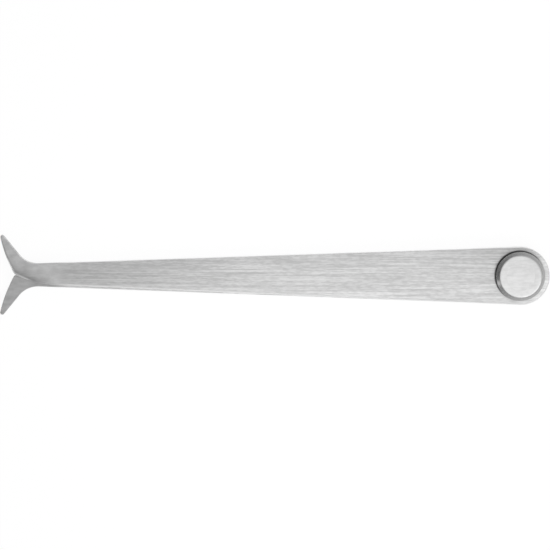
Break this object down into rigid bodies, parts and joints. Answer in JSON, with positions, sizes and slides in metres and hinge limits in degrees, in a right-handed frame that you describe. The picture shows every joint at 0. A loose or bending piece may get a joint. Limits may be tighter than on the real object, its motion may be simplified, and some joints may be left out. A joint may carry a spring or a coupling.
{
  "type": "inside caliper",
  "caption": "Firm-joint inside caliper: flat tapered steel legs on a riveted friction joint, with hooked feet that turn outwards to touch the walls of a hole.",
  "frame": {"origin": "on the joint's axis, in the flat face of the rear disc", "axes": "+Z along the joint's axis towards the front disc, -X along the closed legs to their feet, +Y to the side of the front leg's toe"},
  "size_m": [0.2116, 0.0308, 0.0129],
  "materials": {
    "leg_steel": "ground along the leg, satin at the foot",
    "disc_steel": "fine turned",
    "rivet_steel": "ground flush with the discs",
    "fibre": "dull vulcanised fibre"
  },
  "bodies": {
    "rear": {"rear_leg": "leg_steel", "rear_disc": "disc_steel", "front_disc": "disc_steel", "rivet": "rivet_steel", "friction_washer": "fibre"},
    "front": {"front_leg": "leg_steel"}
  },
  "joints": [
    {"name": "leg_pivot", "type": "hinge", "parent": "rear", "child": "front", "pos_m": [0, 0, 0.00782], "axis": [0, 0, -1], "continuous": true}
  ]
}
